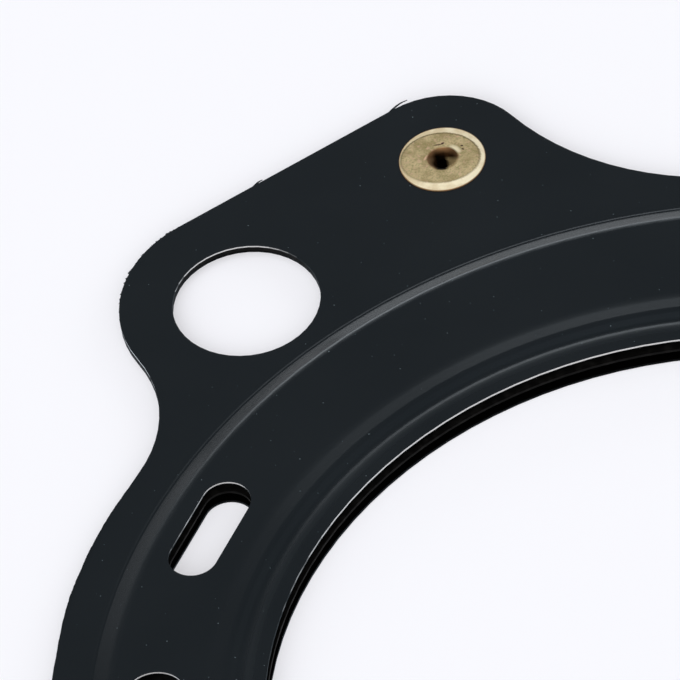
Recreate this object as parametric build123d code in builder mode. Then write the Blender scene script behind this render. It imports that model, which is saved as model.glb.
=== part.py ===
"""Cylinder head gasket: two embossed steel sheets and a flat core, held together by two rivets.

The frame is millimetres, +Z up. The origin is on the bore axis at the middle of the core sheet.
Studs, coolant holes, step bead and outline share the casting axis, which lies beside the bore axis.
"""

import os
from collections import namedtuple
from math import acos, atan2, cos, degrees, radians, sin

from build123d import *

# Stack
sheet_thickness = 0.2      # each outer sheet
core_thickness = 0.2       # flat sheet between them
plateau_rise = 0.7         # how far the step bead lifts the water jacket area off the core

# Bore and its bead, each width measured outwards from the one before
bore_radius = 29.6
rim_width = 1.3            # flat land round the bore
rim_step_width = 0.55      # small step from the land down to the valley
bead_fall_width = 0.8      # steep inner flank of the bead
bead_rise_width = 1.35     # gentle outer flank of the bead
bead_height = 0.18         # crest over the plateau
valley_depth = 0.08        # valley under the plateau
rim_height = 0.03          # land over the plateau

# Water jacket
casting_offset = 1.1       # casting axis from the bore axis, along X
coolant_land = 1.45        # bead foot to the nearest coolant slot
slot_width = 3.3
slot_length = 8.4
slot_angle = 22.0          # slot centre from the X axis
round_hole_radius = 2.0
shoulder_land = 1.05       # round coolant hole to the shoulder of the step bead
step_width = 1.25          # step bead, shoulder to foot, seen from above

# Flange
flange_width = 2.7         # step foot to the round part of the outline
stud_hole_radius = 5.0     # clears a stud inside its dowel sleeve
stud_land = 1.56           # step foot to the stud hole
stud_angle = 46.0          # stud from the X axis
stud_wall = 3.6            # metal round a stud hole
stud_blend = 10.0          # concave corner between a stud lobe and the ring

# Rivets
rivet_land = 6.79          # step foot to the rivet head
rivet_turn = 20.0          # rivet from its stud, round the casting axis
rivet_wall = 3.1           # metal round a rivet head
rivet_blend = 19.0         # long concave sweep between a rivet lobe and the ring
rivet_shank_radius = 1.5
rivet_clearance = 0.08     # shank to the holes in the sheets
rivet_head_radius = 2.95
rivet_face_radius = 2.38   # flat of the head inside its bevel
rivet_head_height = 0.2
rivet_rim_height = 0.06    # upright edge under the bevel, on the head and on the tail
rivet_tail_radius = 2.6
rivet_tail_bevel = 0.45    # width of the tail's bevel
rivet_tail_height = 0.22
rivet_mouth_radius = 1.02  # wide end of the funnel in the head
rivet_mouth_depth = 0.58
rivet_mouth_lip = 0.12     # rounding of the funnel's upper edge
rivet_bore_radius = 0.42   # blind bore below the funnel
rivet_floor = 0.12         # metal left under the bore

# Bend radii, on the face that shows
rim_bend = 1.5
valley_bend = 0.8
crest_bend = 1.0
bead_foot_bend = 4.0
shoulder_bend = 1.1        # the foot of the step bead is a sharp fold
flat_margin = 0.5          # flat sheet kept beyond each bead

# Levels
flange_lower = core_thickness / 2
flange_upper = flange_lower + sheet_thickness
plateau_upper = flange_upper + plateau_rise
crest_upper = plateau_upper + bead_height
valley_upper = plateau_upper - valley_depth
rim_upper = plateau_upper + rim_height

# Radii about the bore axis
rim_edge = bore_radius + rim_width
valley_radius = rim_edge + rim_step_width
crest_radius = valley_radius + bead_fall_width
bead_foot = crest_radius + bead_rise_width
bead_join = bead_foot + flat_margin

# Radii about the casting axis
coolant_radius = bead_foot + casting_offset + coolant_land + slot_width / 2
shoulder_radius = coolant_radius + round_hole_radius + shoulder_land
step_foot = shoulder_radius + step_width
step_join = step_foot + flat_margin
ring_radius = step_foot + flange_width
stud_radius = step_foot + stud_land + stud_hole_radius
stud_lobe_radius = stud_hole_radius + stud_wall
rivet_radius = step_foot + rivet_land + rivet_head_radius
rivet_lobe_radius = rivet_head_radius + rivet_wall


def on_casting(radius, angle):
    """Point at a radius and an angle about the casting axis."""
    return Vector(casting_offset + radius * cos(radians(angle)), radius * sin(radians(angle)))


casting_centre = on_casting(0, 0)
opposite_ends = (180, 0)   # the layout repeats at half a turn
stud_spots = [
    on_casting(stud_radius, end + side * stud_angle)
    for end in opposite_ends
    for side in (-1, 1)
]
rivet_spots = [on_casting(rivet_radius, end - stud_angle - rivet_turn) for end in opposite_ends]
hole_spots = [on_casting(coolant_radius, end) for end in opposite_ends]
slot_places = [
    Location(on_casting(coolant_radius, end + side * slot_angle), end + side * slot_angle + 90)
    for end in opposite_ends
    for side in (-1, 1)
]

# Outline: the rounds met going anticlockwise, each with the radius of the concave arc that
# joins it to the next, or None where a straight edge does.
Round = namedtuple("Round", "centre radius blend")
rounds = []
for rivet, (first_stud, second_stud) in zip(rivet_spots, (stud_spots[:2], stud_spots[2:])):
    rounds += [
        Round(rivet, rivet_lobe_radius, None),
        Round(first_stud, stud_lobe_radius, stud_blend),
        Round(casting_centre, ring_radius, stud_blend),
        Round(second_stud, stud_lobe_radius, stud_blend),
        Round(casting_centre, ring_radius, rivet_blend),
    ]


def on_round(item, angle, extra=0):
    """Point at an angle on a round, or beyond it by an extra distance."""
    reach = item.radius + extra
    return item.centre + Vector(reach * cos(radians(angle)), reach * sin(radians(angle)))


def join_angles(item, following):
    """Angle at which one round is left, and the angle at which the next is met."""
    way = following.centre - item.centre
    heading = degrees(atan2(way.Y, way.X))
    if item.blend is None:
        square = degrees(acos((item.radius - following.radius) / way.length))
        return heading - square, heading - square
    reach, far_reach = item.radius + item.blend, following.radius + item.blend
    leave = acos((way.length**2 + reach**2 - far_reach**2) / (2 * way.length * reach))
    meet = acos((way.length**2 + far_reach**2 - reach**2) / (2 * way.length * far_reach))
    return heading - degrees(leave), heading + 180 + degrees(meet)


following_rounds = rounds[1:] + rounds[:1]
joins = [join_angles(item, following) for item, following in zip(rounds, following_rounds)]
meeting_angles = [meet for _, meet in joins[-1:] + joins[:-1]]

with BuildSketch() as outline:
    with BuildLine():
        for item, following, start, join in zip(rounds, following_rounds, meeting_angles, joins):
            leave, meet = join
            CenterArc(item.centre, item.radius, start, (leave - start) % 360)
            if item.blend is None:
                Line(on_round(item, leave), on_round(following, meet))
            else:
                bend_centre = on_round(item, leave, extra=item.blend)
                CenterArc(bend_centre, item.blend, leave + 180, (meet - leave) % 360 - 360)
    make_face()

# Openings that every sheet has
with BuildSketch() as openings:
    Circle(bore_radius)
    with Locations(stud_spots):
        Circle(stud_hole_radius)
    with Locations(rivet_spots):
        Circle(rivet_shank_radius + rivet_clearance)
    with Locations(hole_spots):
        Circle(round_hole_radius)
    with Locations(slot_places):
        SlotOverall(slot_length, slot_width)

# Upper sheet: a flat flange, the step bead and plateau turned about the casting axis, and the
# bore bead turned about the bore axis
with BuildPart() as upper_sheet:
    with BuildSketch(Plane.XY.offset(flange_lower)):
        add(outline.sketch)
        with Locations(casting_centre):
            Circle(step_join, mode=Mode.SUBTRACT)
    extrude(amount=sheet_thickness)
    with BuildSketch(Plane.XZ):
        with BuildLine():
            FilletPolyline(
                (casting_offset, plateau_upper),
                (casting_offset + shoulder_radius, plateau_upper),
                (casting_offset + step_foot, flange_upper),
                (casting_offset + step_join, flange_upper),
                radius=(shoulder_bend, 0),
            )
            offset(amount=sheet_thickness, side=Side.RIGHT, kind=Kind.INTERSECTION, mode=Mode.ADD)
        make_face()
    revolve(axis=Axis((casting_offset, 0, 0), (0, 0, 1)))
    with BuildSketch(Plane.XY.offset(flange_lower)):
        Circle(bead_join)
    extrude(amount=crest_upper, mode=Mode.SUBTRACT)
    with BuildSketch(Plane.XZ):
        with BuildLine():
            FilletPolyline(
                (bore_radius, rim_upper),
                (rim_edge, rim_upper),
                (valley_radius, valley_upper),
                (crest_radius, crest_upper),
                (bead_foot, plateau_upper),
                (bead_join, plateau_upper),
                radius=(rim_bend, valley_bend, crest_bend, bead_foot_bend),
            )
            offset(amount=sheet_thickness, side=Side.RIGHT, mode=Mode.ADD)
        make_face()
    revolve(axis=Axis.Z)
    with BuildSketch():
        add(openings.sketch)
    extrude(amount=2 * crest_upper, mode=Mode.SUBTRACT)
upper_sheet.part.label = "upper_sheet"

# Lower sheet: the same pressing turned over
with BuildPart() as lower_sheet:
    add(mirror(upper_sheet.part, about=Plane.XY))
lower_sheet.part.label = "lower_sheet"

# Core sheet: flat, and clamped between the flanges of the other two
with BuildPart() as core_sheet:
    with BuildSketch(Plane.XY.offset(-flange_lower)):
        add(outline.sketch)
        add(openings.sketch, mode=Mode.SUBTRACT)
    extrude(amount=core_thickness)
core_sheet.part.label = "core_sheet"


def rivet_at(spot):
    """Turned rivet: bevelled head and tail, and a blind bore that opens in a funnel in the head."""
    head_top = flange_upper + rivet_head_height
    tail_bottom = -flange_upper - rivet_tail_height
    bore_bottom = tail_bottom + rivet_floor
    section_plane = Plane(origin=(spot.X, spot.Y, 0), x_dir=(1, 0, 0), z_dir=(0, -1, 0))
    with BuildPart() as turned:
        with BuildSketch(section_plane):
            with BuildLine():
                FilletPolyline(
                    (0, bore_bottom),
                    (rivet_bore_radius, bore_bottom),
                    (rivet_bore_radius, head_top - rivet_mouth_depth),
                    (rivet_mouth_radius, head_top),
                    (rivet_face_radius, head_top),
                    (rivet_head_radius, flange_upper + rivet_rim_height),
                    (rivet_head_radius, flange_upper),
                    (rivet_shank_radius, flange_upper),
                    (rivet_shank_radius, -flange_upper),
                    (rivet_tail_radius, -flange_upper),
                    (rivet_tail_radius, -flange_upper - rivet_rim_height),
                    (rivet_tail_radius - rivet_tail_bevel, tail_bottom),
                    (0, tail_bottom),
                    radius=(0, 0, rivet_mouth_lip) + (0,) * 8,
                )
                Line((0, tail_bottom), (0, bore_bottom))
            make_face()
        revolve(axis=Axis((spot.X, spot.Y, 0), (0, 0, 1)))
    return turned


rivets = [rivet_at(spot) for spot in rivet_spots]
for number, rivet in enumerate(rivets, start=1):
    rivet.part.label = f"rivet_{number}"

os.makedirs("parts", exist_ok=True)
for piece in [upper_sheet, core_sheet, lower_sheet] + rivets:
    export_step(piece.part, f"parts/{piece.part.label}.step")
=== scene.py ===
"""Looks of the cylinder head gasket: finishes, burrs, floor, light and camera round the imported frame."""
import math
import random

import bpy
from mathutils import Matrix, Vector


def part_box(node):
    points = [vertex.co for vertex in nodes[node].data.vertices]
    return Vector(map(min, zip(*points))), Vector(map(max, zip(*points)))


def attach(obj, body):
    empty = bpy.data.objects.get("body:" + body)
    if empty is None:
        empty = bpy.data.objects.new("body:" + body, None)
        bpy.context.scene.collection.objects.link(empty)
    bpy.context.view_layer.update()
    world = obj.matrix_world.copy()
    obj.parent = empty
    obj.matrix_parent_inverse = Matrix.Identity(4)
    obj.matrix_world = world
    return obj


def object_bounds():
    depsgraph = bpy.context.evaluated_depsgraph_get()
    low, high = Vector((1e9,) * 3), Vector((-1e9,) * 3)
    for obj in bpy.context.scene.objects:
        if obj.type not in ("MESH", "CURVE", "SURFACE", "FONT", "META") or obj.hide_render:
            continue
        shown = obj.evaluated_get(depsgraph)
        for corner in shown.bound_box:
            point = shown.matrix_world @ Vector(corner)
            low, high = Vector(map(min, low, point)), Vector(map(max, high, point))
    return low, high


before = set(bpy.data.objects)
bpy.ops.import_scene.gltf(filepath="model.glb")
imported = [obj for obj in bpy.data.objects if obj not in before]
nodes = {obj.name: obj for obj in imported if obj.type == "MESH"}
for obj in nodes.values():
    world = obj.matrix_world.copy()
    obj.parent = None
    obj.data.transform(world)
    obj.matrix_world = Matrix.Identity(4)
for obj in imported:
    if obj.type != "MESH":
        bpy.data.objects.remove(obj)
cad_low, cad_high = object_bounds()

MM = 0.001

# Camera, in metres: where it stands, the point at the picture's centre, and its turn about the line of
# sight. The sensor and the lens are in mm.
CAMERA_PLACE = Vector((0.03572, -0.36304, 0.42887))
CAMERA_TARGET = Vector((-0.02622, 0.03111, 0.00030))
CAMERA_ROLL = math.radians(-8.625)
SENSOR = 36.0
LENS = 465.72

# Circles of the sheets: the drop from the bore's rim to the valley is about the bore axis, the rest are
# about the casting axis
BORE_AXIS = (0.0, 0.0, 0.0)
RIM_DROP = 30.75 * MM
CASTING_AXIS = (cad_low + cad_high) / 2
STEP_FOOT = 42.1 * MM
STEP_RIDGE = STEP_FOOT + 0.11 * MM
RING_RADIUS = 44.8 * MM

# Levels of the upper sheet and the core, and the height of the bright land on the upper sheet's edges
PLATEAU_TOP = 1.0 * MM
FLANGE_TOP = 0.3 * MM
CORE_TOP = 0.1 * MM
BURNISHED_LAND = 0.11 * MM

# Back left stud lobe: its centre, its radius, and a radius that takes in the wall of its hole
STUD_LOBE = (-32.70 * MM, 35.00 * MM, 0.0)
STUD_LOBE_RADIUS = 8.6 * MM
STUD_HOLE = 5.2 * MM

# Burrs: the angles in degrees between which they run, about the casting axis and about the lobe's centre,
# how thick they are, how far they reach into the sheet, and how finely they are drawn
RING_BURR = (150.0, 177.5)
LOBE_BURR = (85.0, 205.0)
BURR_THICKNESS = 0.05 * MM
BURR_ROOT = 0.25 * MM
STEPS_PER_DEGREE = 6.5

# Two slivers on the straight edge between that lobe and the rivet's: root and tip in plan, and how far
# the middle is bowed, in mm
SLIVER_THICKNESS = 0.04 * MM
SLIVER_STEPS = 8
SLIVERS = {
    "sliver_1": ((-23.75, 52.05), (-22.62, 53.12), 0.16),
    "sliver_2": ((-32.78, 45.48), (-32.20, 46.12), 0.10),
}

# Rivet's head, in plan from its axis. Its face lies a little left of centre and is narrower from front to
# back, 2.38 mm from its middle against 2.78 mm to the sides.
FACE_SHIFT = (0.13 * MM, 0.0, 0.0)
FACE_SHAPE = (1 / 2.78, 1 / 2.38, 0.0)
MOUTH_CENTRE = (0.05 * MM, -0.06 * MM, 0.0)
MOUTH_RADIUS = 1.05 * MM

# Height from the rivet's middle, between the floor of its blind bore and the flat end of its tail
TAIL_END = -0.45 * MM

# Marks on a rivet's face: side and back from its axis, half length and half width (mm), turn (degrees)
TOOL_MARKS = (
    (-0.34, 1.21, 0.28, 0.050, 8.0),
    (-0.02, 1.33, 0.13, 0.080, 40.0),
    (1.31, 1.06, 0.10, 0.070, -20.0),
    (1.39, 0.75, 0.10, 0.060, -40.0),
)

# Painted highlights on the lips of the rivet's mouth, placed as the marks, and their colours
LIP_HIGHLIGHTS = (
    ((0.86, 0.80, 0.42, 0.22, -42.0), (0.86, 0.75, 0.50)),
    ((-1.10, 0.05, 0.28, 0.08, 64.0), (0.72, 0.47, 0.30)),
)

# Soft lights of the studio: bearing from the back round to the right, height and spread in degrees, and
# strength. DIM is what comes from everywhere.
LIGHTS = (
    (-1.0, 15.5, 8.0, 2.45),
    (-18.0, 16.5, 5.5, 3.4),
    (-35.0, 13.0, 6.0, 0.3),
    (75.0, 24.0, 14.0, 2.2),
    (185.0, 40.0, 18.0, 7.1),
)
DIM = 0.14

# Floor: its side in metres, and how far it lies under the lowest bead
FLOOR_SIZE = 6.0
FLOOR_GAP = 0.02 * MM


def add_camera():
    """Long lens, square frame."""
    data = bpy.data.cameras.new("camera")
    data.sensor_fit = "AUTO"
    data.sensor_width = SENSOR
    data.lens = LENS
    data.clip_start = 0.01
    data.clip_end = 20.0
    camera = bpy.data.objects.new("camera", data)
    bpy.context.scene.collection.objects.link(camera)
    aim = (CAMERA_TARGET - CAMERA_PLACE).to_track_quat("-Z", "Y").to_matrix().to_4x4()
    turn = Matrix.Rotation(CAMERA_ROLL, 4, "Z")
    camera.matrix_world = Matrix.Translation(CAMERA_PLACE) @ aim @ turn
    bpy.context.scene.camera = camera


class Nodes:
    """Short way to add and join shader nodes in one material or world."""

    def __init__(self, tree):
        self.tree = tree
        tree.nodes.clear()

    def add(self, kind, inputs=None, **settings):
        node = self.tree.nodes.new(kind)
        for key, value in settings.items():
            setattr(node, key, value)
        for key, value in (inputs or {}).items():
            self.put(node.inputs[key], value)
        return node

    def put(self, socket, value):
        if isinstance(value, bpy.types.NodeSocket):
            self.tree.links.new(value, socket)
        else:
            socket.default_value = value

    def math(self, operation, first, second=0.0, third=0.0):
        node = self.add("ShaderNodeMath", {0: first, 1: second, 2: third}, operation=operation)
        return node.outputs[0]

    def plus(self, first, second):
        return self.math("ADD", first, second)

    def minus(self, first, second):
        return self.math("SUBTRACT", first, second)

    def times(self, first, second):
        return self.math("MULTIPLY", first, second)

    def times_plus(self, first, second, third):
        return self.math("MULTIPLY_ADD", first, second, third)

    def apart(self, first, second):
        return self.math("ABSOLUTE", self.minus(first, second))

    def over(self, value, limit):
        """1 where the value is over the limit, and 0 elsewhere."""
        return self.math("GREATER_THAN", value, limit)

    def under(self, value, limit):
        return self.math("LESS_THAN", value, limit)

    def vector_math(self, operation, first, second=(0.0, 0.0, 0.0), output="Vector"):
        node = self.add("ShaderNodeVectorMath", {0: first, 1: second}, operation=operation)
        return node.outputs[output]

    def scaled(self, vector, scale):
        return self.vector_math("MULTIPLY", vector, scale)

    def parts(self, vector):
        return self.add("ShaderNodeSeparateXYZ", {0: vector}).outputs

    def distance(self, place, centre):
        """Distance in plan from an upright axis through centre."""
        flat = self.scaled(self.vector_math("SUBTRACT", place, centre), (1.0, 1.0, 0.0))
        return self.vector_math("LENGTH", flat, output="Value")

    def noise(self, place, scale, detail=2.0, roughness=0.5):
        node = self.add(
            "ShaderNodeTexNoise",
            {"Vector": place, "Scale": scale, "Detail": detail, "Roughness": roughness},
        )
        return node.outputs["Fac"]

    def ramp(self, value, low, high, to_low=0.0, to_high=1.0):
        node = self.add(
            "ShaderNodeMapRange",
            {"Value": value, "From Min": low, "From Max": high, "To Min": to_low, "To Max": to_high},
            clamp=True,
        )
        return node.outputs["Result"]

    def mix(self, factor, first, second):
        node = self.add("ShaderNodeMix", data_type="RGBA")
        self.put(node.inputs["Factor"], factor)
        self.put(node.inputs["A"], first)
        self.put(node.inputs["B"], second)
        return node.outputs["Result"]

    def bump(self, height, distance, strength, **others):
        inputs = {"Strength": strength, "Distance": distance, "Height": height, **others}
        return self.add("ShaderNodeBump", inputs).outputs["Normal"]


def colour(red, green, blue):
    return (red, green, blue, 1.0)


def new_material(name):
    """Empty material, its nodes, and the place on the part."""
    material = bpy.data.materials.new(name)
    material.use_nodes = True
    n = Nodes(material.node_tree)
    return material, n, n.add("ShaderNodeTexCoord").outputs["Object"]


def finish_with(n, inputs):
    """Join the given inputs to a plain surface shader."""
    shader = n.add("ShaderNodeBsdfPrincipled", inputs)
    n.add("ShaderNodeOutputMaterial", {"Surface": shader.outputs["BSDF"]})


def dusted(n, place, tone):
    """A tone with specks of dust on it."""
    cells = n.add("ShaderNodeTexVoronoi", {"Vector": place, "Scale": 640.0}, voronoi_dimensions="2D")
    chance, size, shine = n.parts(cells.outputs["Color"])
    reach = n.ramp(size, 0.0, 1.0, 0.009, 0.027)
    speck = n.times(n.over(chance, 0.60), n.under(cells.outputs["Distance"], reach))
    dust = n.mix(shine, colour(0.02, 0.035, 0.04), colour(0.13, 0.16, 0.17))
    return n.mix(speck, tone, dust)


def burnished(n, place, radius, normal, cut):
    """Mask of the bright land along the top of a sheared edge. It is patchy, it shows only where the edge
    faces the front, as a painted highlight, and the right side of the back left stud hole has none."""
    top = n.ramp(radius, STEP_FOOT, STEP_FOOT + 0.1 * MM, PLATEAU_TOP, FLANGE_TOP)
    land = n.over(n.parts(place)["Z"], n.minus(top, BURNISHED_LAND))
    patches = n.noise(place, 900.0)
    # Painted highlight: the land fades out where the edge turns away from the front
    patchy_front_highlight = n.ramp(n.times_plus(patches, 0.5, n.times(normal["Y"], -1.0)), 0.50, 0.72)
    in_hole = n.under(n.distance(place, STUD_LOBE), STUD_HOLE)
    kept = n.ramp(n.times(in_hole, normal["X"]), -0.65, -0.15)
    return n.times(n.times(cut, land), n.times(patchy_front_highlight, kept))


def coating_normal(n, place, radius):
    """Fine grain, and a thin ridge where the coating is pinched up along the foot of the step bead."""
    grained = n.bump(n.noise(place, 5200.0), 0.02 * MM, 0.12)
    ridge = n.ramp(n.apart(radius, STEP_RIDGE), 0.0, 0.10 * MM, 1.0, 0.0)
    return n.bump(ridge, 0.017 * MM, 1.0, Normal=grained)


def coated_sheet(name, outside, bare_edges):
    """Satin black rubber coating. outside is 1 for the sheet that faces up and -1 for the one that faces
    down. The side towards the core and the sheared edges are dull and near black, but for the bright land
    that they have where bare_edges is 1, shown only where the edge faces the front as a painted highlight."""
    material, n, place = new_material(name)
    radius = n.distance(place, CASTING_AXIS)
    normal = n.parts(n.add("ShaderNodeNewGeometry").outputs["True Normal"])
    cut = n.under(n.math("ABSOLUTE", normal["Z"]), 0.5)
    hidden = n.math("MAXIMUM", cut, n.under(n.times(normal["Z"], outside), 0.0))
    bare_and_front_lit = n.times(burnished(n, place, radius, normal, cut), bare_edges)

    cloud = n.noise(place, 90.0, detail=3.0)
    tone = n.mix(cloud, colour(0.0054, 0.0073, 0.0090), colour(0.0074, 0.0096, 0.0115))
    tone = n.mix(hidden, dusted(n, place, tone), colour(0.0022, 0.0019, 0.0016))
    streaks = n.noise(n.scaled(place, (1.0, 1.0, 0.12)), 7000.0, detail=3.0)
    steel = n.mix(streaks, colour(0.50, 0.49, 0.48), colour(0.82, 0.81, 0.79))

    off_rim = n.apart(n.distance(place, BORE_AXIS), RIM_DROP)
    rougher = n.ramp(off_rim, 0.05 * MM, 0.40 * MM, 0.10, 0.0)
    satin = n.plus(n.ramp(cloud, 0.3, 0.7, 0.22, 0.26), rougher)
    finish_with(n, {
        "Base Color": n.mix(bare_and_front_lit, tone, steel),
        "Metallic": hidden,
        "Roughness": n.ramp(n.minus(hidden, bare_and_front_lit), 0.0, 1.0, satin, 0.6),
        "Specular Tint": colour(0.84, 0.94, 1.0),
        "Normal": coating_normal(n, place, radius),
    })
    return material


def core_steel():
    """Cold-rolled steel, coloured near black and dull, a little lighter in patches."""
    material, n, place = new_material("core")
    streaks = n.noise(n.scaled(place, (1.0, 0.02, 1.0)), 3000.0, detail=3.0)
    # Near black tone, a little lighter in patches
    scale = n.ramp(n.noise(place, 1500.0), 0.45, 0.7)
    finish_with(n, {
        "Base Color": n.mix(scale, colour(0.0020, 0.0018, 0.0016), colour(0.0055, 0.0050, 0.0045)),
        "Roughness": n.ramp(streaks, 0.3, 0.7, 0.5, 0.7),
        "Specular IOR Level": 0.05,
    })
    return material


def spot(n, local, mark, blur=0.4):
    """Mask of a small ellipse on a rivet, from its place, half sizes and turn, as in TOOL_MARKS."""
    centre_side, centre_back, half_length, half_width, turn = mark
    side, back, _ = n.parts(local)
    turn = math.radians(turn)
    x = n.minus(side, centre_side * MM)
    y = n.minus(back, centre_back * MM)
    along = n.times_plus(y, math.sin(turn), n.times(x, math.cos(turn)))
    across = n.times_plus(x, -math.sin(turn), n.times(y, math.cos(turn)))
    along = n.math("DIVIDE", along, half_length * MM)
    across = n.math("DIVIDE", across, half_width * MM)
    squares = n.plus(n.times(along, along), n.times(across, across))
    return n.ramp(squares, 1.0 - blur, 1.0 + blur, 1.0, 0.0)


def dull_brass(n, place, fine, coarse):
    """Khaki, mottled with olive and pink."""
    tone = n.mix(n.ramp(coarse, 0.33, 0.67), colour(0.38, 0.28, 0.13), colour(0.63, 0.49, 0.27))
    tone = n.mix(n.ramp(fine, 0.45, 0.72), tone, colour(0.28, 0.25, 0.09))
    return n.mix(n.ramp(n.noise(place, 3600.0), 0.56, 0.75), tone, colour(0.62, 0.42, 0.27))


def struck_head(n, place, local, face, fine, coarse):
    """Tone of the head round its mouth, from the tone of its face, with painted highlights on the lips and
    the bevel and painted shade along the bevel's inner line and the head's edge, and the mask of its
    bevel.
    """
    for mark in TOOL_MARKS:
        face = n.mix(spot(n, local, mark), face, colour(0.07, 0.03, 0.015))
    # Painted highlights on the lips of the mouth
    for lip, shine in LIP_HIGHLIGHTS:
        face = n.mix(spot(n, local, lip, blur=0.95), face, colour(*shine))

    side, back, _ = n.parts(local)
    struck = n.scaled(n.vector_math("ADD", local, FACE_SHIFT), FACE_SHAPE)
    rim = n.math("DIVIDE", n.vector_math("LENGTH", struck, output="Value"), MM)
    rim = n.plus(rim, n.ramp(fine, 0.3, 0.7, -0.015, 0.015))
    bevel = n.ramp(rim, 0.96, 1.02)
    # Painted highlight: the bevel's bright tone grows towards the right and the front
    burnish_and_highlight = n.ramp(n.times_plus(back, -0.35, side), -2.7 * MM, 2.7 * MM, -0.5, 0.5)
    burnish_and_highlight = n.plus(burnish_and_highlight, n.ramp(n.noise(place, 1500.0, detail=3.0), 0.35, 0.65))
    bright = n.mix(burnish_and_highlight, colour(0.78, 0.63, 0.39), colour(0.98, 0.86, 0.61))
    tone = n.mix(bevel, face, bright)

    # Painted shade: a dark line between the face and the bevel, strongest at the back, and a dark brown
    # band on the upright edge of the head
    line = n.ramp(n.apart(rim, 0.965), 0.010, 0.035, 1.0, 0.0)
    behind = n.ramp(n.times_plus(coarse, 2.0 * MM, back), 0.0, 2.0 * MM, 0.25, 0.8)
    tone = n.mix(n.times(line, behind), tone, colour(0.17, 0.13, 0.05))
    edge = n.ramp(n.distance(local, (0.0, 0.0, 0.0)), 2.88 * MM, 2.94 * MM)
    return n.mix(edge, tone, colour(0.30, 0.15, 0.05)), bevel


def mouth_light_and_shade(n, local, from_mouth, top):
    """Tone inside the mouth with painted light and shade: brown wall painted darker further in, painted
    shade in dark brown at the back, painted light in khaki on the front right quarter, and a black painted
    shadow in the bore that leans to the left at the back."""
    side, back, height = n.parts(local)
    fall = n.minus(n.times(back, 0.73), n.times(n.minus(top, height), 0.68))
    # Painted shade: the wall turns dark towards the middle of the mouth
    left = n.ramp(from_mouth, 0.62 * MM, 1.10 * MM)
    left = n.mix(left, colour(0.030, 0.014, 0.006), colour(0.40, 0.25, 0.13))
    # Painted light: khaki on the right side of the wall
    wall = n.mix(n.ramp(side, -0.1 * MM, 0.5 * MM), left, colour(0.50, 0.37, 0.18))
    # Painted shade: dark brown over the back wall, lighter towards the lip
    shade = n.ramp(from_mouth, 0.75 * MM, 1.10 * MM)
    shade = n.mix(shade, colour(0.026, 0.011, 0.004), colour(0.22, 0.115, 0.052))
    wall = n.mix(n.ramp(fall, -0.22 * MM, 0.08 * MM), wall, shade)
    # Painted shadow: black down the bore, leaning to the left at the back
    across = n.math("ABSOLUTE", n.times_plus(fall, 0.24, n.plus(side, 0.16 * MM)))
    bore_shadow = n.ramp(across, 0.26 * MM, 0.52 * MM, 1.0, 0.0)
    bore_shadow = n.times(bore_shadow, n.ramp(fall, 0.10 * MM, 0.60 * MM, 1.0, 0.0))
    return n.mix(bore_shadow, wall, colour(0.002, 0.001, 0.0005))


def brass(name, low, high):
    """Set rivet: dull face, bevel burnished by the setting tool with a painted highlight to the front
    right, brown mouth with painted light and shade, and a plain tail.
    """
    centre = (low + high) / 2
    material, n, place = new_material(name)
    local = n.vector_math("SUBTRACT", place, centre)
    fine = n.noise(place, 6500.0, detail=3.0, roughness=0.65)
    coarse = n.noise(place, 1300.0, detail=3.0)
    plain = dull_brass(n, place, fine, coarse)
    struck, bevel = struck_head(n, place, local, plain, fine, coarse)

    head = n.over(n.parts(local)["Z"], TAIL_END)
    from_mouth = n.distance(local, MOUTH_CENTRE)
    ragged = n.times_plus(coarse, 0.08 * MM, from_mouth)
    inside = n.ramp(ragged, MOUTH_RADIUS, MOUTH_RADIUS + 0.14 * MM, 1.0, 0.0)
    inside = n.times(inside, head)
    mouth = mouth_light_and_shade(n, local, from_mouth, (high - centre)[2])
    finish_with(n, {
        "Base Color": n.mix(inside, n.mix(head, plain, struck), mouth),
        "Metallic": n.ramp(inside, 0.0, 1.0, 0.45, 1.0),
        "Roughness": n.ramp(bevel, 0.0, 1.0, 0.65, 0.58),
        "Normal": n.bump(n.plus(fine, coarse), 0.03 * MM, 0.3),
    })
    return material


def strip(name, inner, outer, top, thickness, material):
    """Thin flat burr between two rows of points in plan. It rides on the gasket."""
    count = len(inner)
    rows = [(point, height) for height in (top, top - thickness) for point in inner + outer]
    places = [(x, y, height) for (x, y), height in rows]
    lower = 2 * count
    faces = []
    for k in range(count - 1):
        a, b, c, d = k, k + 1, count + k + 1, count + k
        faces.append((a, b, c, d))
        faces.append((d + lower, c + lower, b + lower, a + lower))
        faces.append((b, a, a + lower, b + lower))
        faces.append((d, c, c + lower, d + lower))
    faces.append((0, count, 3 * count, 2 * count))
    faces.append((2 * count - 1, count - 1, 3 * count - 1, 4 * count - 1))
    mesh = bpy.data.meshes.new(name)
    mesh.from_pydata(places, [], faces)
    mesh.materials.append(material)
    piece = bpy.data.objects.new(name, mesh)
    bpy.context.scene.collection.objects.link(piece)
    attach(piece, "root")


def smooth(share):
    """Ease from 0 to 1."""
    share = min(1.0, share)
    return share * share * (3.0 - 2.0 * share)


def ragged_edge(name, centre, radius, angles, reach, rough, top, material):
    """Burr along an arc of the outline, inside the CAD box. reach is how far it stands out, and rough how
    far that wanders."""
    luck = random.Random(11)
    start, end = angles
    count = round(STEPS_PER_DEGREE * (end - start))
    inner, outer = [], []
    wander = 0.0
    for step in range(count + 1):
        share = step / count
        angle = math.radians(start + (end - start) * share)
        wander = 0.75 * wander + 0.25 * luck.uniform(-1.0, 1.0)
        rise = smooth(2.2 * share) * smooth(2.7 * (1.0 - share))
        stand = rise * (reach + rough * wander)
        for row, distance in ((inner, radius - BURR_ROOT), (outer, radius - 0.02 * MM + stand)):
            x = centre[0] + distance * math.cos(angle)
            y = centre[1] + distance * math.sin(angle)
            row.append((max(x, cad_low[0] + 0.01 * MM), y))
    strip(name, inner, outer, top, BURR_THICKNESS, material)


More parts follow.
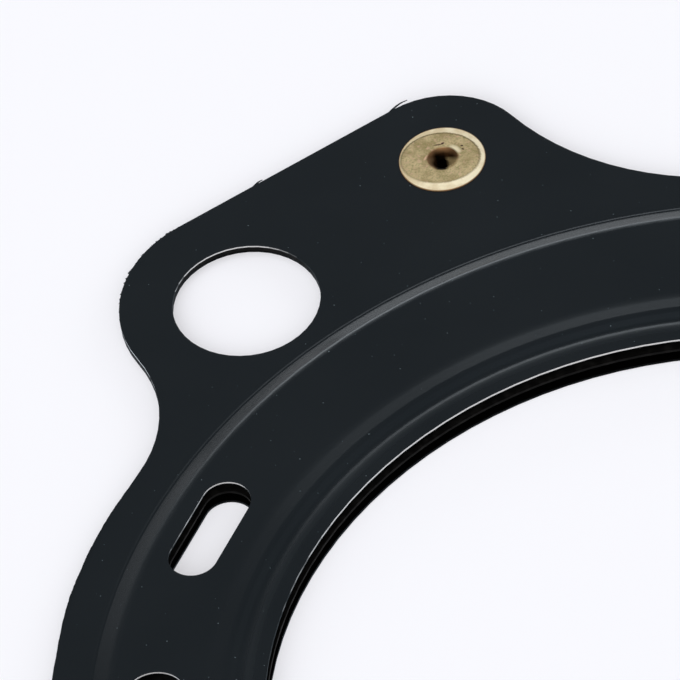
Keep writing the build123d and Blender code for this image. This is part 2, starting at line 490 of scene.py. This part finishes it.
def sliver(name, root, tip, bow, top, material):
    """Thin bowed whisker that tapers from its root to its tip."""
    inner, outer = [], []
    for step in range(SLIVER_STEPS + 1):
        share = step / SLIVER_STEPS
        x = root[0] + (tip[0] - root[0]) * share
        y = root[1] + (tip[1] - root[1]) * share + bow * math.sin(math.pi * share)
        half = 0.045 * (1.0 - share) + 0.015
        inner.append(((x + half) * MM, (y - half) * MM))
        outer.append(((x - half) * MM, (y + half) * MM))
    strip(name, inner, outer, top, SLIVER_THICKNESS, material)


def add_burrs(material):
    """What the shear left on the left of the ring, round the back left lobe and on the edge beside it."""
    flange = FLANGE_TOP - 0.01 * MM
    ring = (CASTING_AXIS, RING_RADIUS, RING_BURR)
    lobe = (STUD_LOBE, STUD_LOBE_RADIUS, LOBE_BURR)
    ragged_edge("ring_burr", *ring, reach=0.29 * MM, rough=0.06 * MM, top=CORE_TOP, material=material)
    ragged_edge("lobe_burr", *lobe, reach=0.0, rough=0.24 * MM, top=flange, material=material)
    for name, (root, tip, bow) in SLIVERS.items():
        sliver(name, root, tip, bow, flange, material)


def dress(name, material):
    slots = nodes[name].data.materials
    slots.clear()
    slots.append(material)


def add_floor():
    """Pale floor under the lowest bead. Half of what the camera and mirrors see of it is its own white."""
    material = bpy.data.materials.new("floor")
    material.use_nodes = True
    n = Nodes(material.node_tree)
    white = colour(0.940, 0.925, 0.952)
    lit = n.add("ShaderNodeBsdfDiffuse", {"Color": white})
    own = n.add("ShaderNodeEmission", {"Color": white, "Strength": 1.0})
    rays = n.add("ShaderNodeLightPath").outputs
    mirrored = n.math("MAXIMUM", rays["Is Glossy Ray"], rays["Is Transmission Ray"])
    share = n.times(n.math("MAXIMUM", rays["Is Camera Ray"], mirrored), 0.5)
    both = n.add("ShaderNodeMixShader", {0: share, 1: lit.outputs[0], 2: own.outputs[0]})
    n.add("ShaderNodeOutputMaterial", {"Surface": both.outputs[0]})
    bpy.ops.mesh.primitive_plane_add(size=FLOOR_SIZE, location=(0.0, 0.0, cad_low[2] - FLOOR_GAP))
    floor = bpy.context.object
    floor.name = "floor"
    floor.data.materials.append(material)


def add_light():
    """Dim studio with soft lights."""
    world = bpy.data.worlds.new("world")
    bpy.context.scene.world = world
    world.use_nodes = True
    n = Nodes(world.node_tree)
    direction = n.add("ShaderNodeTexCoord").outputs["Generated"]
    strength = DIM
    for bearing, height, spread, power in LIGHTS:
        bearing, height, spread = math.radians(bearing), math.radians(height), math.radians(spread)
        level = math.cos(height)
        axis = Vector((math.sin(bearing) * level, math.cos(bearing) * level, math.sin(height)))
        off = n.minus(n.vector_math("DOT_PRODUCT", direction, axis, output="Value"), 1.0)
        glow = n.math("EXPONENT", n.math("DIVIDE", off, spread * spread))
        strength = n.times_plus(glow, power, strength)
    sky = n.add("ShaderNodeBackground", {"Color": colour(0.93, 0.965, 1.0), "Strength": strength})
    n.add("ShaderNodeOutputWorld", {"Surface": sky.outputs[0]})


add_camera()
upper_coat = coated_sheet("upper_sheet", outside=1.0, bare_edges=1.0)
dress("upper_sheet", upper_coat)
dress("lower_sheet", coated_sheet("lower_sheet", outside=-1.0, bare_edges=0.0))
dress("core_sheet", core_steel())
for rivet in ("rivet_1", "rivet_2"):
    dress(rivet, brass(rivet, *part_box(rivet)))
add_burrs(upper_coat)
add_floor()
add_light()
bpy.context.scene.view_settings.view_transform = "Standard"
